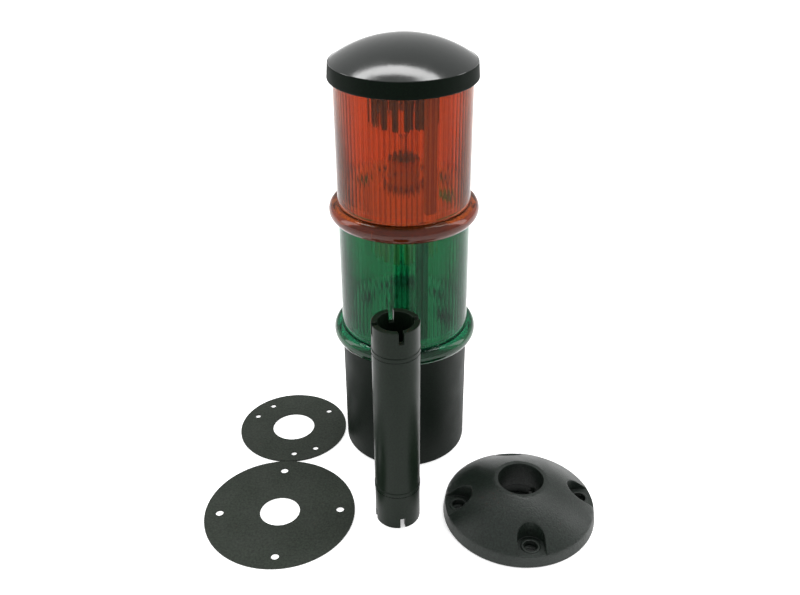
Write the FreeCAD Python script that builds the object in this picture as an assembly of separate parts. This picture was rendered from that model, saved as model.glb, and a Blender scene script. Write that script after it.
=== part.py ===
# Stack light: a black base, a green and an orange lamp module and a domed cap, joined by bayonets,
# with the pieces that mount it beside it: a pole, a foot and the gaskets for the foot and the base.
# Millimetres, +Z up.  The tower stands on its own axis at the origin, base down on z = 0.
import FreeCAD, Part
import math
import os

os.makedirs("parts", exist_ok=True)

# ---- tower: driving sizes -------------------------------------------------------------------
body_r = 36.9                # outside of the base and of both lenses
base_height = 82.6           # floor to the top edge of the base
module_length = 84.4         # a lens, from the mouth of its socket to its top edge
socket_depth = 7.0           # how far each socket reaches over the part below it
base_wall = 3.0
base_floor = 3.0
lens_wall = 2.5
cap_wall = 2.2

# ---- clearances -----------------------------------------------------------------------------
running_gap = 0.3            # between parts that turn on each other
seat_gap = 0.2               # between a seal and the edge that turns under it
fit_gap = 0.1                # a loose push fit of pieces that stay still
pole_gap = 0.1               # pole in its sockets

# ---- bayonet --------------------------------------------------------------------------------
lug_count = 3
lug_reach = 1.1
lug_height = 2.4
lug_below_edge = 2.2
lug_span = 12.0              # degrees of arc
lug_angle = 30.0             # the first lug, degrees from +X
release_turn = 20.0          # degrees from locked to free
seal_height = 1.2
seal_width = 2.2

# ---- lens -----------------------------------------------------------------------------------
bead_r = 5.0                 # the half-round bead round each socket
mouth_lip = 1.5              # flat wall left at the mouth under the bead
ledge_width = 2.5            # inner ledge that carries the lamp carrier
ledge_height = 1.8
flute_count = 82
flute_depth = 0.7
flute_start = 2.0            # above the carrier

# ---- carrier and its castellated hub ------------------------------------------------------------
carrier_height = 2.5
hub_r = 18.0
hub_wall = 2.0
hub_reach = 24.9             # finger tips below the mouth of the socket
finger_count = 16
finger_width = 4.0
finger_length = 18.0
finger_angle = 7.9           # degrees from +X
hub_room = 1.6               # hub to the plate that it hangs through
wire_hole_r = 2.0
vent_count = 5
vent_pitch = 45.0            # degrees
vent_span = 30.0             # degrees
vent_start = -20.0           # degrees
vent_from_hub = 3.0
vent_to_ledge = 2.0

# ---- lamp -----------------------------------------------------------------------------------
cap_shell_r = 7.5            # fifteen millimetre bayonet lamp
lamp_cap_height = 14.8
lamp_cap_wall = 0.5
lamp_cap_floor = 2.0
holder_height = 18.0
holder_wall = 0.9
holder_gap = 0.3
holder_floor = 3.0
holder_flange_r = 11.5
holder_flange = 1.5
pin_r = 0.9
pin_reach = 1.6              # a lamp pin beyond its cap
pin_slot_gap = 0.3
pin_slot_depth = 8.0         # from the holder's rim to the bottom of the slot
pin_slot_turn = 25.0         # degrees
pin_slot_angle = 40.0        # degrees from +X
lamp_lift = 0.5              # lamp cap above the holder's floor
glass_r = 9.0
glass_neck_depth = 4.0       # neck inside the cap
glass_shoulder = 6.0         # cap rim to the full width of the glass
glass_height = 30.5          # above the cap's rim
glass_wall = 0.7
filament_wire_r = 0.3
filament_spread = 2.2
filament_coil_r = 0.55
filament_height = 13.0       # above the cap's rim

# ---- wiring duct, contact blades and tracks ---------------------------------------------------
duct_width = 5.6
duct_depth = 4.0
duct_wall = 1.0
duct_inset = 3.6             # middle of the duct, in from the inside of the lens
arm_overhang = 1.8           # arm past the middle of the innermost contact
arm_height = 2.5
contact_drop = 7.9           # feet of the blades below the edge that they stand in
contact_count = 3
contact_pitch = 3.4
blade_width = 2.0
blade_thick = 0.4
blade_foot = 4.8
blade_bend_r = 2.0
track_width = 2.4
track_thick = 0.4
track_margin = 8.0           # degrees of track past the blade at each end of the turn
green_contact_angle = -72.0  # degrees from +X
orange_contact_angle = -64.0

# ---- cap ------------------------------------------------------------------------------------
cap_reach = 2.2              # top edge of the rim, out from the lens
cap_draft = 0.6              # how much wider the rim is at its foot
cap_rim_height = 8.9
cap_chamfer = 0.8
cap_rim_step = 0.2
dome_rise = 12.5
dome_shoulder_r = 0.3

# ---- base -----------------------------------------------------------------------------------
base_edge = 0.6
base_plate_height = 2.5
base_ledge = 1.5
base_screw_circle_r = 26.9
base_screw_count = 3
base_screw_angle = 36.2      # degrees from +X
base_screw_r = 1.7
base_boss_r = 4.0
base_boss_height = 12.0
base_screw_depth = 10.0
rib_thick = 2.0
base_socket_depth = 15.0
base_socket_wall = 3.0

# ---- terminal block -------------------------------------------------------------------------
terminal_count = 5
terminal_pitch = 6.6
terminal_height = 16.0
terminal_gap = 1.0           # pole socket to the front face of the block
terminal_wall_gap = 1.25     # back corners of the block to the wall of the base
terminal_end_wall = 0.5
terminal_wire_r = 1.6
terminal_wire_z = 5.0
terminal_screw_r = 1.9
terminal_screw_length = 4.0
terminal_screw_sink = 0.8
terminal_well_depth = 6.0
driver_slot = 0.6
driver_slot_depth = 0.9

# ---- pole -----------------------------------------------------------------------------------
pole_r = 12.5
pole_bore_r = 9.35
pole_length = 129.5
pole_slot_count = 4
pole_slot_width = 2.7
pole_slot_depth = 6.5
pole_slot_angle = 13.8       # degrees from +X
pole_band_width = 2.5
pole_band_rise = 0.2
key_gap = 0.25
key_reach = 2.0
key_relief = 0.5             # the wall is cut back round the keys
key_relief_gap = 0.3         # and a little past their ends
socket_lip = 3.0
socket_lip_height = 2.0

# ---- foot -----------------------------------------------------------------------------------
foot_r = 43.0
foot_height = 24.6
foot_rim_height = 7.2
foot_rim_draft = 1.0         # how much narrower the rim is at its top
foot_rim_wall = 3.0
foot_wall = 2.5
foot_bulge = 1.5             # how far the dome stands out from a straight cone
foot_collar_land = 1.6
foot_collar_wall = 3.0
foot_socket_depth = 22.6
foot_key_angle = 45.0        # degrees from +X
foot_screw_circle_r = 34.5
foot_screw_count = 4
foot_screw_angle = 4.0       # degrees from +X
foot_screw_r = 2.25
foot_screw_head_r = 3.7
foot_screw_head_depth = 3.0
foot_screw_ring = 1.5
foot_screw_ring_height = 0.8
foot_pocket_r = 7.5
foot_pocket_wall = 2.0
foot_edge = 0.5

# ---- gaskets --------------------------------------------------------------------------------
gasket_thick = 1.0
foot_gasket_hole_r = 11.4
foot_gasket_angle = 2.1      # degrees from +X
base_gasket_inset = 3.1      # in from the outside of the base
base_gasket_hole_r = 13.2
base_gasket_extra_turn = 90.0  # the two more holes, degrees from the first

# ---- where the loose pieces lie ---------------------------------------------------------------
lay_gap = 0.3                # between the two gaskets
tower_to_gasket = 1.5
gasket_to_pole = 12.2
pole_to_foot = 13.5
tower_to_pole = 27.2
foot_tuck = 4.1              # the foot's back edge beside the base
base_gasket_y = 1.3

# ---- worked out -----------------------------------------------------------------------------
ORIGIN = FreeCAD.Vector(0, 0, 0)
UP = FreeCAD.Vector(0, 0, 1)
FULL_TURN = 360.0
OVER = 1.0                   # how far a cutter runs past the face that it cuts

socket_r = body_r + running_gap
groove_r = body_r + lug_reach + running_gap
lens_inner_r = body_r - lens_wall
shoulder = socket_depth + seat_gap + seal_height
ledge_r = lens_inner_r - ledge_width
ledge_top = shoulder + ledge_height
carrier_top = ledge_top + carrier_height
mouth_r = socket_r + mouth_lip
bead_middle = math.sqrt(bead_r ** 2 - (mouth_r - body_r) ** 2)
green_z = base_height - socket_depth
orange_z = green_z + module_length - socket_depth
cap_z = orange_z + module_length - socket_depth
vent_inner_r = hub_r + vent_from_hub
vent_outer_r = ledge_r - vent_to_ledge
holder_inner_r = cap_shell_r + holder_gap
holder_outer_r = holder_inner_r + holder_wall
lamp_cap_z = carrier_top + holder_floor + lamp_lift
lamp_cap_top = lamp_cap_z + lamp_cap_height
pin_z = carrier_top + holder_height - pin_slot_depth + pin_r + pin_slot_gap
contact_level = module_length - contact_drop
contact_inner_r = (hub_r + ledge_r) / 2 - (contact_count - 1) / 2 * contact_pitch
duct_r = lens_inner_r - duct_inset
arm_inner_r = contact_inner_r - arm_overhang
cap_r = body_r + cap_reach
blade_height = contact_drop + (ledge_top - track_thick - socket_depth) - running_gap
base_socket_r = pole_r + pole_gap
base_plate_hole_r = hub_r + hub_room
base_ledge_z = base_height - contact_drop - base_plate_height
base_socket_outer_r = base_socket_r + base_socket_wall
base_upper_r = body_r - base_wall
base_lower_r = base_upper_r - base_ledge
terminal_width = terminal_count * terminal_pitch + 2 * terminal_end_wall
terminal_y = base_socket_outer_r + terminal_gap
terminal_back_y = math.sqrt((base_lower_r - terminal_wall_gap) ** 2 - (terminal_width / 2) ** 2)
terminal_depth = terminal_back_y - terminal_y
key_width = pole_slot_width - 2 * key_gap
key_height = pole_slot_depth - key_gap
key_room_height = key_height + key_relief_gap
base_gasket_r = body_r - base_gasket_inset
base_gasket_x = -(body_r + tower_to_gasket + base_gasket_r)
foot_gasket_x = base_gasket_x
foot_gasket_y = base_gasket_y - base_gasket_r - foot_r - lay_gap
pole_x = foot_gasket_x + foot_r + gasket_to_pole + pole_r
pole_y = -(body_r + tower_to_pole + pole_r)
foot_x = pole_x + pole_r + pole_to_foot + foot_r
foot_y = -(body_r + foot_r - foot_tuck)


# ---- building blocks ------------------------------------------------------------------------
def at(radius, height):
    """A point of a profile that is turned about Z."""
    return FreeCAD.Vector(radius, 0, height)


def straight(start, end):
    return Part.LineSegment(at(*start), at(*end)).toShape()


def bent(start, middle, end):
    return Part.Arc(at(*start), at(*middle), at(*end)).toShape()


def turned_edges(edges):
    """Solid turned about Z from the edges of a closed profile, in order."""
    face = Part.Face(Part.Wire(edges))
    return face.revolve(ORIGIN, UP, FULL_TURN)


def turned(points):
    """Solid turned about Z from a profile of straight lines through (radius, height) points."""
    corners = [at(*point) for point in points]
    face = Part.Face(Part.makePolygon(corners + corners[:1]))
    return face.revolve(ORIGIN, UP, FULL_TURN)


def disc(radius, height, z):
    return Part.makeCylinder(radius, height, FreeCAD.Vector(0, 0, z))


def ring(inner, outer, height, z):
    return disc(outer, height, z).cut(disc(inner, height + 2 * OVER, z - OVER))


def spun(shape, angle):
    """A copy of the shape, turned about Z."""
    copy = shape.copy()
    copy.rotate(ORIGIN, UP, angle)
    return copy


def moved(shape, x, y, z):
    copy = shape.copy()
    copy.translate(FreeCAD.Vector(x, y, z))
    return copy


def sector(inner, outer, height, z, start, span):
    """Part of a ring, from the start angle over the span."""
    wedge = Part.makeCylinder(outer, height, FreeCAD.Vector(0, 0, z), UP, span)
    wedge.rotate(ORIGIN, UP, start)
    return wedge.cut(disc(inner, height + 2 * OVER, z - OVER))


def bar(inner, outer, width, height, z, angle):
    """A radial bar that lies across the given angle."""
    corner = FreeCAD.Vector(inner, -width / 2, z)
    return spun(Part.makeBox(outer - inner, width, height, corner), angle)


def peg(radius, height, circle_r, z, angle):
    """An upright cylinder on a circle about the axis."""
    return spun(Part.makeCylinder(radius, height, FreeCAD.Vector(circle_r, 0, z)), angle)


def around(count, first, make):
    """The pieces that make(angle) gives at equal steps about the axis."""
    return [make(first + k * FULL_TURN / count) for k in range(count)]


def save(name, shape):
    shape.exportStep("parts/" + name + ".step")


# ---- bayonet --------------------------------------------------------------------------------
def lugs(edge_z):
    """Lugs round the neck of the part whose top edge is at edge_z."""
    z = edge_z - lug_below_edge - lug_height
    inner = body_r - OVER
    outer = body_r + lug_reach
    return around(lug_count, lug_angle - lug_span / 2,
                  lambda angle: sector(inner, outer, lug_height, z, angle, lug_span))


def lug_grooves():
    """L-shaped grooves of a socket with its mouth at z = 0: straight in, then along the turn."""
    slack = math.degrees(running_gap / body_r)
    inner = body_r - OVER
    top = socket_depth - lug_below_edge + running_gap
    height = lug_height + 2 * running_gap
    width = lug_span + 2 * slack
    first = lug_angle - lug_span / 2 - slack - release_turn
    along = around(lug_count, first,
                   lambda angle: sector(inner, groove_r, height, top - height, angle, width + release_turn))
    entry = around(lug_count, first,
                   lambda angle: sector(inner, groove_r, top + OVER, -OVER, angle, width))
    return along + entry


def seal_ring():
    """Flat seal on the shoulder of a socket with its mouth at z = 0."""
    middle = body_r - lens_wall / 2
    return ring(middle - seal_width / 2, middle + seal_width / 2, seal_height, shoulder - seal_height)


# ---- lens and carrier -----------------------------------------------------------------------
def lens():
    """Lens with its bead, socket, carrier ledge, inner flutes and bayonet lugs, mouth at z = 0."""
    bead_top = bead_middle + bead_r
    outline = [
        straight((socket_r, 0), (mouth_r, 0)),
        bent((mouth_r, 0), (body_r + bead_r, bead_middle), (body_r, bead_top)),
        straight((body_r, bead_top), (body_r, module_length)),
        straight((body_r, module_length), (lens_inner_r, module_length)),
        straight((lens_inner_r, module_length), (lens_inner_r, ledge_top)),
        straight((lens_inner_r, ledge_top), (ledge_r, ledge_top)),
        straight((ledge_r, ledge_top), (ledge_r, shoulder)),
        straight((ledge_r, shoulder), (socket_r, shoulder)),
        straight((socket_r, shoulder), (socket_r, 0)),
    ]
    shape = turned_edges(outline).cut(lug_grooves()).cut(flutes())
    return shape.fuse(lugs(module_length)).removeSplitter()


def flutes():
    """Star-shaped bar that leaves upright flutes inside the lens, crests on its inner radius."""
    step = 2 * math.pi / flute_count
    corners = []
    for k in range(flute_count):
        for radius, turn in ((lens_inner_r, k * step), (lens_inner_r + flute_depth, (k + 0.5) * step)):
            corners.append(FreeCAD.Vector(radius * math.cos(turn), radius * math.sin(turn), 0))
    star = Part.Face(Part.makePolygon(corners + corners[:1]))
    start = carrier_top + flute_start
    return moved(star.extrude(UP * (module_length - start + OVER)), 0, 0, start)


def hub(top):
    """Castellated hub: a ring from the given height down, with round-ended fingers below it."""
    tip = -hub_reach
    root = tip + finger_length
    tube = ring(hub_r - hub_wall, hub_r, top - tip, tip)
    upper = ring(hub_r - hub_wall, hub_r, top - root, root)
    round_r = finger_width / 2
    inner = hub_r - hub_wall - OVER
    blank = bar(inner, hub_r + OVER, finger_width, finger_length - round_r, tip + round_r, 0)
    end = Part.makeCylinder(round_r, hub_wall + 2 * OVER, FreeCAD.Vector(inner, 0, tip + round_r),
                            FreeCAD.Vector(1, 0, 0))
    finger = tube.common(blank.fuse(end))
    return upper.fuse(around(finger_count, finger_angle, lambda angle: spun(finger, angle))).removeSplitter()


def carrier():
    """Black floor inside a lens: it carries the lamp holder and the duct, and its hub hangs below."""
    plate = disc(lens_inner_r - fit_gap, carrier_height, ledge_top)
    inner_edge = hub_r - hub_wall
    vents = [sector(vent_inner_r, vent_outer_r, carrier_height + 2 * OVER, ledge_top - OVER,
                    vent_start + k * vent_pitch - vent_span / 2, vent_span) for k in range(vent_count)]
    wires = around(2, 0, lambda angle: peg(wire_hole_r, carrier_height + 2 * OVER,
                                           (inner_edge + holder_flange_r) / 2, ledge_top - OVER, angle))
    return plate.cut(vents + wires).fuse(hub(ledge_top)).removeSplitter()


# ---- lamp -----------------------------------------------------------------------------------
def lamp_holder():
    """Bayonet lamp holder: a flanged shell with two J-shaped slots for the pins."""
    z = carrier_top
    top = z + holder_height
    shell = turned([(0, z), (holder_flange_r, z), (holder_flange_r, z + holder_flange),
                    (holder_outer_r, z + holder_flange), (holder_outer_r, top), (holder_inner_r, top),
                    (holder_inner_r, z + holder_floor), (0, z + holder_floor)])
    slot_height = 2 * (pin_r + pin_slot_gap)
    slot_span = math.degrees(slot_height / holder_outer_r)
    slots = []
    for start in (pin_slot_angle, pin_slot_angle + FULL_TURN / 2):
        slots.append(sector(cap_shell_r, holder_outer_r + OVER, pin_slot_depth + OVER,
                            top - pin_slot_depth, start, slot_span))
        slots.append(sector(cap_shell_r, holder_outer_r + OVER, slot_height,
                            top - pin_slot_depth, start, slot_span + pin_slot_turn))
    return shell.cut(slots)


def bulb_cap():
    """Metal cap of the lamp, with its two pins at the end of the holder's slots."""
    z = lamp_cap_z
    inner = cap_shell_r - lamp_cap_wall
    cup = turned([(0, z), (cap_shell_r, z), (cap_shell_r, lamp_cap_top), (inner, lamp_cap_top),
                  (inner, z + lamp_cap_floor), (0, z + lamp_cap_floor)])
    slot_span = math.degrees(2 * (pin_r + pin_slot_gap) / holder_outer_r)
    pin = Part.makeCylinder(pin_r, pin_reach + lamp_cap_wall, FreeCAD.Vector(inner, 0, pin_z),
                            FreeCAD.Vector(1, 0, 0))
    first = pin_slot_angle + pin_slot_turn + slot_span / 2
    return cup.fuse(around(2, first, lambda angle: spun(pin, angle))).removeSplitter()


def bulb_glass():
    """Blown glass of the lamp: a neck in the cap, a shoulder, a straight side and a round end."""
    neck = cap_shell_r - lamp_cap_wall - fit_gap
    neck_z = lamp_cap_top - glass_neck_depth
    wide_z = lamp_cap_top + glass_shoulder
    top = lamp_cap_top + glass_height
    outer = blown_profile(neck, glass_r, neck_z, wide_z, top)
    inner = blown_profile(neck - glass_wall, glass_r - glass_wall, neck_z, wide_z, top - glass_wall)
    return outer.cut(inner)


def blown_profile(neck, radius, neck_z, wide_z, top):
    """Solid with a neck that widens in a smooth shoulder and ends in half a ball."""
    round_z = top - radius
    middle = ((neck + radius) / 2, (lamp_cap_top + wide_z) / 2)
    turn = math.sqrt(0.5)
    return turned_edges([
        straight((0, neck_z), (neck, neck_z)),
        straight((neck, neck_z), (neck, lamp_cap_top)),
        straight((neck, lamp_cap_top), middle),
        straight(middle, (radius, wide_z)),
        straight((radius, wide_z), (radius, round_z)),
        bent((radius, round_z), (radius * turn, round_z + radius * turn), (0, top)),
        straight((0, top), (0, neck_z)),
    ])


def filament():
    """Two stiff wires that stand in the lamp cap and hold the coiled filament."""
    z = lamp_cap_z + lamp_cap_floor
    height = lamp_cap_top + filament_height - z
    wires = around(2, 0, lambda angle: peg(filament_wire_r, height, filament_spread, z, angle))
    coil = Part.makeCylinder(filament_coil_r, 2 * filament_spread,
                             FreeCAD.Vector(-filament_spread, 0, z + height - filament_coil_r),
                             FreeCAD.Vector(1, 0, 0))
    return coil.fuse(wires).removeSplitter()


# ---- wiring duct and contacts -----------------------------------------------------------------
def wiring_duct(angle):
    """Channel up the inside of a lens, with the arm at its top that holds the contact blades."""
    inner = duct_r - duct_depth / 2
    outer = duct_r + duct_depth / 2
    height = contact_level - carrier_top
    post = bar(inner, outer, duct_width, height, carrier_top, angle)
    hollow = bar(inner - OVER, outer - duct_wall, duct_width - 2 * duct_wall,
                 height - arm_height, carrier_top - OVER, angle)
    arm = bar(arm_inner_r, outer, duct_width, arm_height, contact_level - arm_height, angle)
    return post.cut(hollow).fuse(arm).removeSplitter()


def contact_radius(k):
    return contact_inner_r + k * contact_pitch


def blade(radius, foot_z, angle):
    """Leaf spring: a flat foot, a riser and a round crest just under the track."""
    half = blade_foot / 2
    crest_y = half - blade_bend_r
    bend_z = blade_height - blade_bend_r
    inner_r = blade_bend_r - blade_thick

    def corner(y, z):
        return FreeCAD.Vector(radius - blade_width / 2, y, foot_z + z)

    def side(y1, z1, y2, z2):
        return Part.LineSegment(corner(y1, z1), corner(y2, z2)).toShape()

    edges = [
        side(-half, 0, half, 0),
        side(half, 0, half, bend_z),
        Part.Arc(corner(half, bend_z), corner(crest_y, blade_height),
                 corner(crest_y - blade_bend_r, bend_z)).toShape(),
        side(crest_y - blade_bend_r, bend_z, crest_y - inner_r, bend_z),
        Part.Arc(corner(crest_y - inner_r, bend_z), corner(crest_y, bend_z + inner_r),
                 corner(half - blade_thick, bend_z)).toShape(),
        side(half - blade_thick, bend_z, half - blade_thick, blade_thick),
        side(half - blade_thick, blade_thick, -half, blade_thick),
        side(-half, blade_thick, -half, 0),
    ]
    face = Part.Face(Part.Wire(edges))
    return spun(face.extrude(FreeCAD.Vector(blade_width, 0, 0)), angle)


def contact_blades(foot_z, angle):
    return Part.makeCompound([blade(contact_radius(k), foot_z, angle) for k in range(contact_count)])


def contact_tracks(angle):
    """Tracks under a carrier, long enough for the blades below through the whole turn."""
    start = angle - release_turn - track_margin
    span = release_turn + 2 * track_margin
    tracks = [sector(contact_radius(k) - track_width / 2, contact_radius(k) + track_width / 2,
                     track_thick, ledge_top - track_thick, start, span) for k in range(contact_count)]
    return Part.makeCompound(tracks)


# ---- cap ------------------------------------------------------------------------------------
def crown_radius(half_width, rise, shoulder_r):
    """Radius of the crown that runs smoothly into a shoulder of the given radius."""
    return (half_width ** 2 + rise ** 2 - 2 * half_width * shoulder_r) / (2 * (rise - shoulder_r))


def roof_height(radius, half_width, rise, shoulder_r):
    """Height of a dome's crown above its edge, at a radius."""
    crown_r = crown_radius(half_width, rise, shoulder_r)
    return rise - crown_r + math.sqrt(crown_r ** 2 - radius ** 2)


def dome_edges(half_width, edge_z, rise, shoulder_r):
    """Profile of a dome from its edge to its apex: a tight shoulder, then a wide crown."""
    crown_r = crown_radius(half_width, rise, shoulder_r)
    lean = math.asin((half_width - shoulder_r) / (crown_r - shoulder_r))

    def on_shoulder(turn):
        return (half_width - shoulder_r + shoulder_r * math.cos(turn), edge_z + shoulder_r * math.sin(turn))

    def on_crown(turn):
        return (crown_r * math.sin(turn), edge_z + rise - crown_r + crown_r * math.cos(turn))

    meeting = on_crown(lean)
    return [
        bent((half_width, edge_z), on_shoulder((math.pi / 2 - lean) / 2), meeting),
        bent(meeting, on_crown(lean / 2), (0, edge_z + rise)),
    ]


def cap():
    """Domed cap: a socket with grooves, a straight rim, a dome and the castellated hub inside."""
    dome_r = cap_r - cap_rim_step
    rim_foot_r = cap_r + cap_draft
    inner_rise = dome_rise - cap_wall
    solid = turned_edges([
        straight((0, 0), (rim_foot_r - cap_chamfer, 0)),
        straight((rim_foot_r - cap_chamfer, 0), (rim_foot_r, cap_chamfer)),
        straight((rim_foot_r, cap_chamfer), (cap_r, cap_rim_height - cap_rim_step)),
        straight((cap_r, cap_rim_height - cap_rim_step), (dome_r, cap_rim_height)),
        *dome_edges(dome_r, cap_rim_height, dome_rise, dome_shoulder_r),
        straight((0, cap_rim_height + dome_rise), (0, 0)),
    ])
    room = turned_edges([
        straight((0, 0), (lens_inner_r, 0)),
        straight((lens_inner_r, 0), (lens_inner_r, cap_rim_height)),
        *dome_edges(lens_inner_r, cap_rim_height, inner_rise, dome_shoulder_r),
        straight((0, cap_rim_height + inner_rise), (0, 0)),
    ])
    socket = disc(socket_r, shoulder + OVER, -OVER)
    shell = solid.cut([room, socket] + lug_grooves())
    hub_top = cap_rim_height + roof_height(hub_r - hub_wall, lens_inner_r, inner_rise, dome_shoulder_r)
    hub_top += cap_wall / 2
    return shell.fuse(hub(hub_top)).removeSplitter()


# ---- base -----------------------------------------------------------------------------------
def key_room(z):
    """Cutter for the wall of a pole socket round its keys."""
    return disc(base_socket_r + key_relief, key_room_height, z)


def pole_keys(z, angle):
    """Keys in a pole socket, for the slots in the end of the pole."""
    return around(pole_slot_count, angle,
                  lambda turn: bar(base_socket_r - key_reach, base_socket_r + OVER, key_width,
                                   key_height, z, turn))


def base_housing():
    """Moulded base: a cup with the pole socket, screw bosses and the neck with its lugs."""
    lip_z = base_socket_depth
    socket_top = lip_z + socket_lip_height
    lip_r = base_socket_r - socket_lip
    shell = turned([
        (base_socket_r, 0), (body_r - base_edge, 0), (body_r, base_edge), (body_r, base_height),
        (base_upper_r, base_height), (base_upper_r, base_ledge_z), (base_lower_r, base_ledge_z),
        (base_lower_r, base_floor), (base_socket_outer_r, base_floor), (base_socket_outer_r, socket_top),
        (lip_r, socket_top), (lip_r, lip_z), (base_socket_r, lip_z),
    ]).cut(key_room(lip_z - key_room_height))
    bosses = around(base_screw_count, base_screw_angle,
                    lambda angle: peg(base_boss_r, base_boss_height, base_screw_circle_r, 0, angle))
    ribs = around(base_screw_count, base_screw_angle,
                  lambda angle: bar(base_socket_outer_r - base_socket_wall / 2, base_lower_r + base_ledge / 2,
                                    rib_thick, base_boss_height, 0, angle))
    holes = around(base_screw_count, base_screw_angle,
                   lambda angle: peg(base_screw_r, base_screw_depth + OVER, base_screw_circle_r, -OVER, angle))
    keys = pole_keys(lip_z - key_height, 0)
    return shell.fuse(bosses + ribs + keys + lugs(base_height)).removeSplitter().cut(holes)


def base_plate():
    """Plate across the top of the base: it holds the contact blades and lets the hub hang through."""
    plate = ring(base_plate_hole_r, base_upper_r - fit_gap, base_plate_height, base_ledge_z)
    vents = [sector(vent_inner_r, vent_outer_r, base_plate_height + 2 * OVER, base_ledge_z - OVER,
                    vent_start + k * vent_pitch - vent_span / 2, vent_span) for k in range(vent_count)]
    return plate.cut(vents)


def terminal_block():
    """Row of screw terminals on the floor of the base."""
    block = Part.makeBox(terminal_width, terminal_depth, terminal_height,
                         FreeCAD.Vector(-terminal_width / 2, terminal_y, base_floor))
    wells = [moved(disc(terminal_screw_r + fit_gap, terminal_well_depth + OVER, 0), x,
                   terminal_y + terminal_depth / 2, base_floor + terminal_height - terminal_well_depth)
             for x in terminal_places()]
    entries = [Part.makeCylinder(terminal_wire_r, terminal_depth / 2,
                                 FreeCAD.Vector(x, terminal_y - OVER, base_floor + terminal_wire_z),
                                 FreeCAD.Vector(0, 1, 0)) for x in terminal_places()]
    return block.cut(wells + entries)


def terminal_places():
    middle = (terminal_count - 1) / 2
    return [(k - middle) * terminal_pitch for k in range(terminal_count)]


def terminal_screws():
    """The slotted screws of the terminal block, one solid each."""
    top = base_floor + terminal_height - terminal_screw_sink
    y = terminal_y + terminal_depth / 2
    screws = []
    for x in terminal_places():
        screw = moved(disc(terminal_screw_r, terminal_screw_length, 0), x, y, top - terminal_screw_length)
        slot = Part.makeBox(2 * terminal_screw_r + 2 * OVER, driver_slot, driver_slot_depth + OVER,
                            FreeCAD.Vector(x - terminal_screw_r - OVER, y - driver_slot / 2,
                                           top - driver_slot_depth))
        screws.append(screw.cut(slot))
    return Part.makeCompound(screws)


# ---- pole, foot and gaskets -------------------------------------------------------------------
def pole():
    """Tube with slots in both ends and a thin raised band at each insertion depth."""
    tube = ring(pole_bore_r, pole_r, pole_length, 0)
    low = foot_socket_depth
    high = pole_length - base_socket_depth
    band_r = pole_r + pole_band_rise
    bands = [ring(pole_bore_r, band_r, pole_band_width, low),
             ring(pole_bore_r, band_r, pole_band_width, high - pole_band_width)]
    slots = []
    for z in (-OVER, pole_length - pole_slot_depth):
        slots += around(pole_slot_count, pole_slot_angle,
                        lambda angle: bar(0, pole_r + OVER, pole_slot_width,
                                          pole_slot_depth + OVER, z, angle))
    return tube.fuse(bands).removeSplitter().cut(slots)


def foot_dome(start, end, bulge):
    """Arc between two points of the foot's profile, bulging out from the straight line."""
    run = math.hypot(end[0] - start[0], end[1] - start[1])
    out = ((start[1] - end[1]) / run, (end[0] - start[0]) / run)
    middle = ((start[0] + end[0]) / 2 + bulge * out[0], (start[1] + end[1]) / 2 + bulge * out[1])
    return bent(start, middle, end)


def foot_envelope():
    """The foot's outer form, solid, with its central bore."""
    land = base_socket_r + foot_collar_land
    rim_top_r = foot_r - foot_rim_draft
    return turned_edges([
        straight((base_socket_r, 0), (foot_r - foot_edge, 0)),
        straight((foot_r - foot_edge, 0), (foot_r, foot_edge)),
        straight((foot_r, foot_edge), (rim_top_r, foot_rim_height)),
        foot_dome((rim_top_r, foot_rim_height), (land, foot_height), -foot_bulge),
        straight((land, foot_height), (base_socket_r, foot_height)),
        straight((base_socket_r, foot_height), (base_socket_r, 0)),
    ])


def foot_hollow():
    """The hollow under the dome, between the collar and the rim."""
    inner = base_socket_r + foot_collar_wall
    outer = foot_r - foot_rim_wall
    low = foot_rim_height - foot_wall
    top = foot_height - foot_wall - foot_collar_land
    return turned_edges([
        straight((inner, -OVER), (outer, -OVER)),
        straight((outer, -OVER), (outer, low)),
        foot_dome((outer, low), (inner, top), -foot_bulge),
        straight((inner, top), (inner, -OVER)),
    ])


def pocket_form(radius, z, height, angle):
    """U-shaped block round a screw place, open outwards."""
    round_end = peg(radius, height, foot_screw_circle_r, z, 0)
    way_out = bar(foot_screw_circle_r, foot_r + OVER, 2 * radius, height, z, 0)
    return spun(round_end.fuse(way_out).removeSplitter(), angle)


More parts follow.
